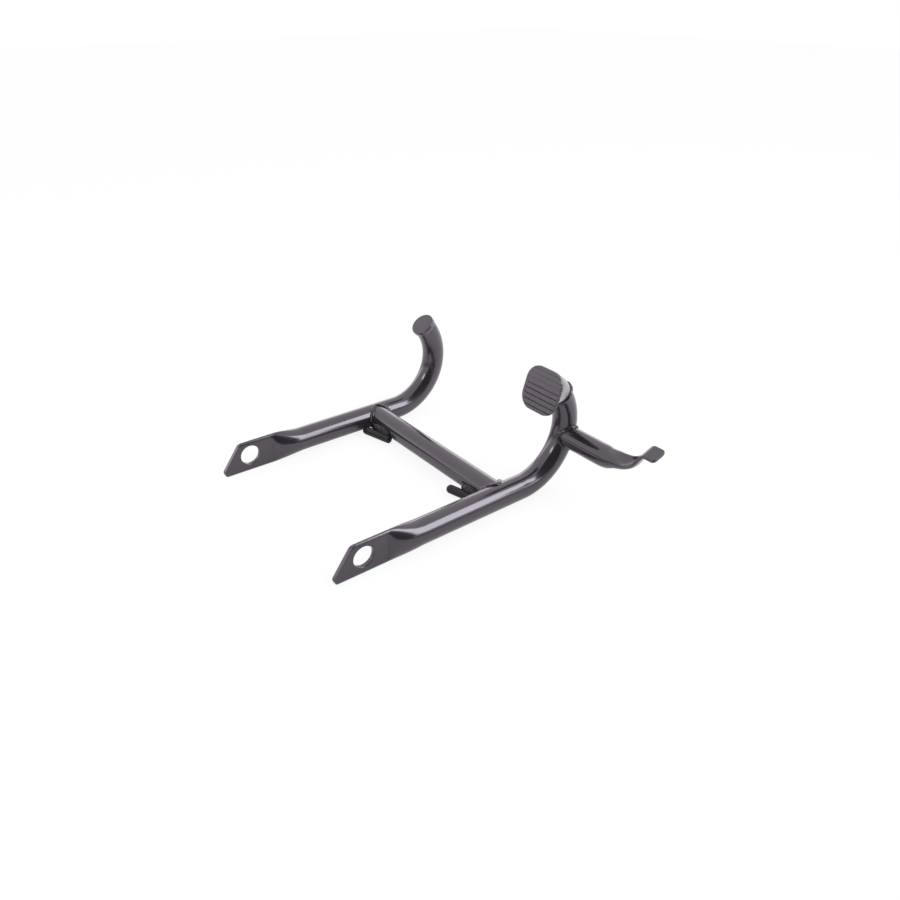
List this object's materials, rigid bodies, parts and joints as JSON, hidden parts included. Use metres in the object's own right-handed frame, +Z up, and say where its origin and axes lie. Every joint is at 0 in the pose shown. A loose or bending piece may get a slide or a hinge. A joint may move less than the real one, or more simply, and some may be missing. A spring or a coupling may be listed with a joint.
{
  "type": "motorcycle centre stand",
  "caption": "Welded tubular centre stand with pressed pivot lugs, a cross tube, spring hooks, a ribbed step plate and a flattened pedal arm.",
  "frame": {"origin": "middle of the pivot axis, halfway between the two pivot lugs", "axes": "+Y along the pivot axis, from the leg with the step plate to the leg with the end cap; +X towards the bends; +Z up, as the stand lies on a bench"},
  "size_m": [0.2524, 0.3035, 0.1177],
  "materials": {
    "leg_near": "gloss black paint",
    "leg_far": "gloss black paint",
    "cross_tube": "gloss black paint",
    "end_cap": "gloss black paint",
    "step_plate": "satin black paint",
    "pedal_arm": "gloss black paint",
    "spring_hook_near": "gloss black paint",
    "spring_hook_far": "gloss black paint",
    "weld_cross_near": "gloss black paint over weld",
    "weld_cross_far": "gloss black paint over weld",
    "weld_pedal_arm": "gloss black paint over weld",
    "weld_step_plate": "gloss black paint over weld",
    "weld_hook_near": "gloss black paint over weld",
    "weld_hook_far": "gloss black paint over weld"
  },
  "bodies": {
    "root": {"leg_near": "leg_near", "leg_far": "leg_far", "cross_tube": "cross_tube", "end_cap": "end_cap", "step_plate": "step_plate", "pedal_arm": "pedal_arm", "spring_hook_near": "spring_hook_near", "spring_hook_far": "spring_hook_far", "weld_cross_near": "weld_cross_near", "weld_cross_far": "weld_cross_far", "weld_pedal_arm": "weld_pedal_arm", "weld_step_plate": "weld_step_plate", "weld_hook_near": "weld_hook_near", "weld_hook_far": "weld_hook_far"}
  },
  "joints": []
}
